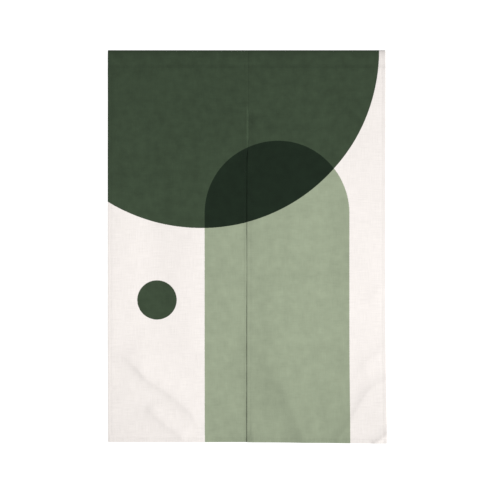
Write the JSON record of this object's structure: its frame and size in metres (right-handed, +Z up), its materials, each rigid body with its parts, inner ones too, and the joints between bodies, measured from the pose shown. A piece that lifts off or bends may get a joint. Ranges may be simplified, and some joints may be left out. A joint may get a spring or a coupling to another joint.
{
  "type": "partition curtain",
  "caption": "Doorway partition curtain of thin printed cloth: two flat panels with a rod pocket across the top, seamed together at the top and parted by a slit below.",
  "frame": {"origin": "middle of the curtain's top edge, at the top of the rod pocket and in the plane of the rod's axis", "axes": "+Z up along the drop, +X to the viewer's right along the rod, +Y away from the viewer, so the printed face looks along -Y"},
  "size_m": [0.8511, 0.0443, 1.2],
  "materials": {
    "left_cloth": "matt printed polyester-linen weave",
    "right_cloth": "matt printed polyester-linen weave"
  },
  "bodies": {
    "root": {"left_panel": "left_cloth", "right_panel": "right_cloth"}
  },
  "joints": []
}
